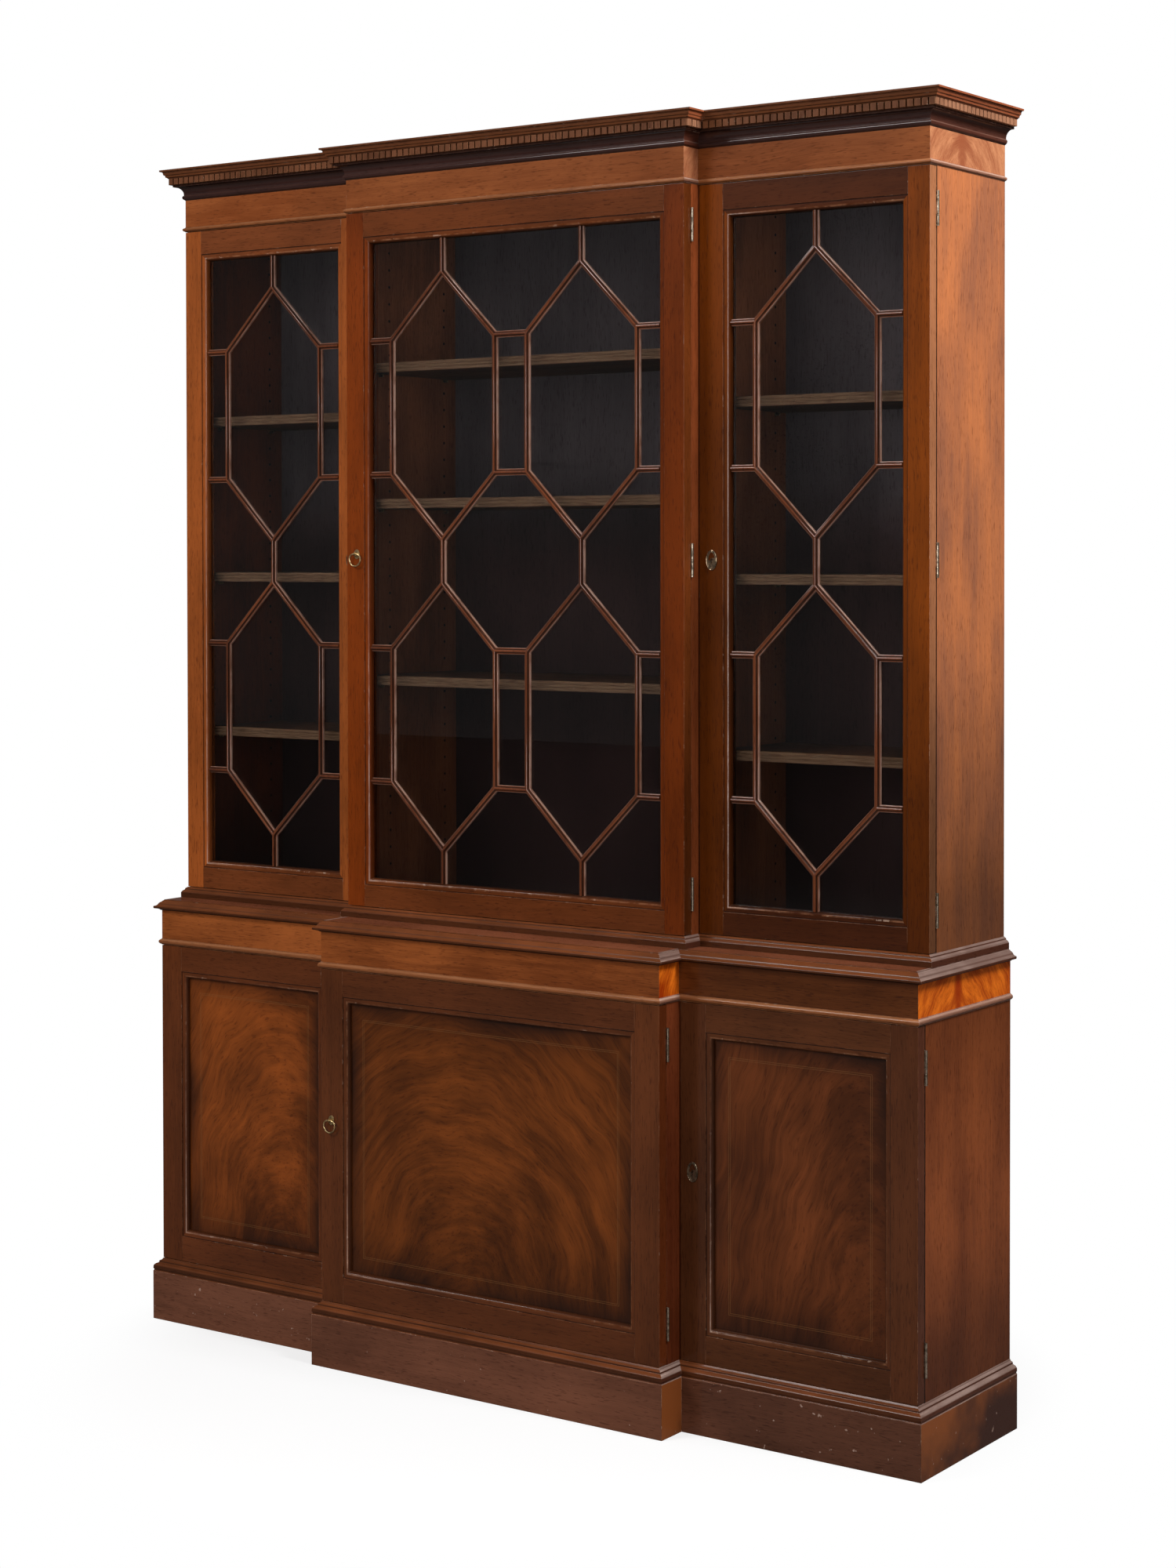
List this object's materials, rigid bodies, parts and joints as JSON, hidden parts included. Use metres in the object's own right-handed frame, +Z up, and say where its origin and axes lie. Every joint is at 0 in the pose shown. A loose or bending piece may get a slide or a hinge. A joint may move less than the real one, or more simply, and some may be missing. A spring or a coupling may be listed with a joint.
{
  "type": "breakfront bookcase",
  "caption": "Tall wooden bookcase with a forward middle section, glazed lattice doors above, panelled doors below, dentil cornice, shelves on pegs and drop pulls.",
  "frame": {"origin": "on the floor, under the middle of the overall box", "axes": "+X to the viewer's right, +Y from the front to the back, +Z up; the doors face -Y"},
  "size_m": [1.729, 0.3996, 2.25],
  "materials": {
    "mahogany": "dark polished mahogany, satin",
    "figured_mahogany": "figured veneer, polished",
    "inner_wood": "plain brown wood, waxed",
    "brass": "aged, satin",
    "glass": "clear, thin pane"
  },
  "bodies": {
    "carcass": {"base_back_panels": "inner_wood", "base_frieze": "figured_mahogany", "base_frieze_bead": "mahogany", "base_level_boards": "inner_wood", "base_outer_sides": "mahogany", "base_partitions": "mahogany", "base_shelves": "inner_wood", "base_top": "mahogany", "base_top_moulding": "mahogany", "case_back_panels": "inner_wood", "case_frieze": "figured_mahogany", "case_frieze_bead": "mahogany", "case_level_boards": "inner_wood", "case_outer_sides": "mahogany", "case_partitions": "mahogany", "case_shelves_centre": "inner_wood", "case_shelves_left": "inner_wood", "case_shelves_right": "inner_wood", "cornice_cove": "mahogany", "cornice_crown": "mahogany", "dentil_moulding": "mahogany", "door_catches": "brass", "fixed_hinge_leaves": "brass", "plinth_boards": "mahogany", "plinth_moulding": "mahogany", "shelf_pegs": "brass", "waist_moulding": "mahogany"},
    "base_left_door": {"base_left_door_frame": "mahogany", "base_left_door_hinge_leaves": "brass", "base_left_door_lock": "brass", "base_left_door_panel": "figured_mahogany"},
    "base_centre_door": {"base_centre_door_frame": "mahogany", "base_centre_door_hinge_leaves": "brass", "base_centre_door_panel": "figured_mahogany", "base_pull_plate": "brass"},
    "base_right_door": {"base_right_door_frame": "mahogany", "base_right_door_hinge_leaves": "brass", "base_right_door_lock": "brass", "base_right_door_panel": "figured_mahogany"},
    "case_left_door": {"case_left_door_frame": "mahogany", "case_left_door_glass": "glass", "case_left_door_glazing_bars": "mahogany", "case_left_door_hinge_leaves": "brass", "case_left_door_lock": "brass"},
    "case_centre_door": {"case_centre_door_frame": "mahogany", "case_centre_door_glass": "glass", "case_centre_door_glazing_bars": "mahogany", "case_centre_door_hinge_leaves": "brass", "case_pull_plate": "brass"},
    "case_right_door": {"case_right_door_frame": "mahogany", "case_right_door_glass": "glass", "case_right_door_glazing_bars": "mahogany", "case_right_door_hinge_leaves": "brass", "case_right_door_lock": "brass"},
    "base_left_bolt": {"base_left_door_bolt": "brass"},
    "base_right_bolt": {"base_right_door_bolt": "brass"},
    "base_pull": {"base_pull_drop": "brass"},
    "case_left_bolt": {"case_left_door_bolt": "brass"},
    "case_right_bolt": {"case_right_door_bolt": "brass"},
    "case_pull": {"case_pull_drop": "brass"}
  },
  "joints": [
    {"name": "base_left_door_hinge", "type": "hinge", "parent": "carcass", "child": "base_left_door", "pos_m": [-0.8439, -0.103, 0.426], "axis": [0, 0, -1], "range_deg": [0, 170]},
    {"name": "base_centre_door_hinge", "type": "hinge", "parent": "carcass", "child": "base_centre_door", "pos_m": [0.3799, -0.1635, 0.426], "axis": [0, 0, 1], "range_deg": [0, 105]},
    {"name": "base_right_door_hinge", "type": "hinge", "parent": "carcass", "child": "base_right_door", "pos_m": [0.8439, -0.103, 0.426], "axis": [0, 0, 1], "range_deg": [0, 170]},
    {"name": "base_left_bolt_slide", "type": "slide", "parent": "base_left_door", "child": "base_left_bolt", "axis": [1, 0, 0], "range_m": [0, 0.008]},
    {"name": "base_right_bolt_slide", "type": "slide", "parent": "base_right_door", "child": "base_right_bolt", "axis": [-1, 0, 0], "range_m": [0, 0.008]},
    {"name": "base_pull_pivot", "type": "hinge", "parent": "base_centre_door", "child": "base_pull", "pos_m": [-0.353, -0.19225, 0.4551], "axis": [-1, 0, 0], "range_deg": [0, 80]},
    {"name": "case_left_door_hinge", "type": "hinge", "parent": "carcass", "child": "case_left_door", "pos_m": [-0.8314, -0.043, 1.486], "axis": [0, 0, -1], "range_deg": [0, 170]},
    {"name": "case_centre_door_hinge", "type": "hinge", "parent": "carcass", "child": "case_centre_door", "pos_m": [0.3799, -0.087, 1.486], "axis": [0, 0, 1], "range_deg": [0, 105]},
    {"name": "case_right_door_hinge", "type": "hinge", "parent": "carcass", "child": "case_right_door", "pos_m": [0.8314, -0.043, 1.486], "axis": [0, 0, 1], "range_deg": [0, 170]},
    {"name": "case_left_bolt_slide", "type": "slide", "parent": "case_left_door", "child": "case_left_bolt", "axis": [1, 0, 0], "range_m": [0, 0.008]},
    {"name": "case_right_bolt_slide", "type": "slide", "parent": "case_right_door", "child": "case_right_bolt", "axis": [-1, 0, 0], "range_m": [0, 0.008]},
    {"name": "case_pull_pivot", "type": "hinge", "parent": "case_centre_door", "child": "case_pull", "pos_m": [-0.353, -0.11575, 1.4971], "axis": [-1, 0, 0], "range_deg": [0, 80]}
  ]
}
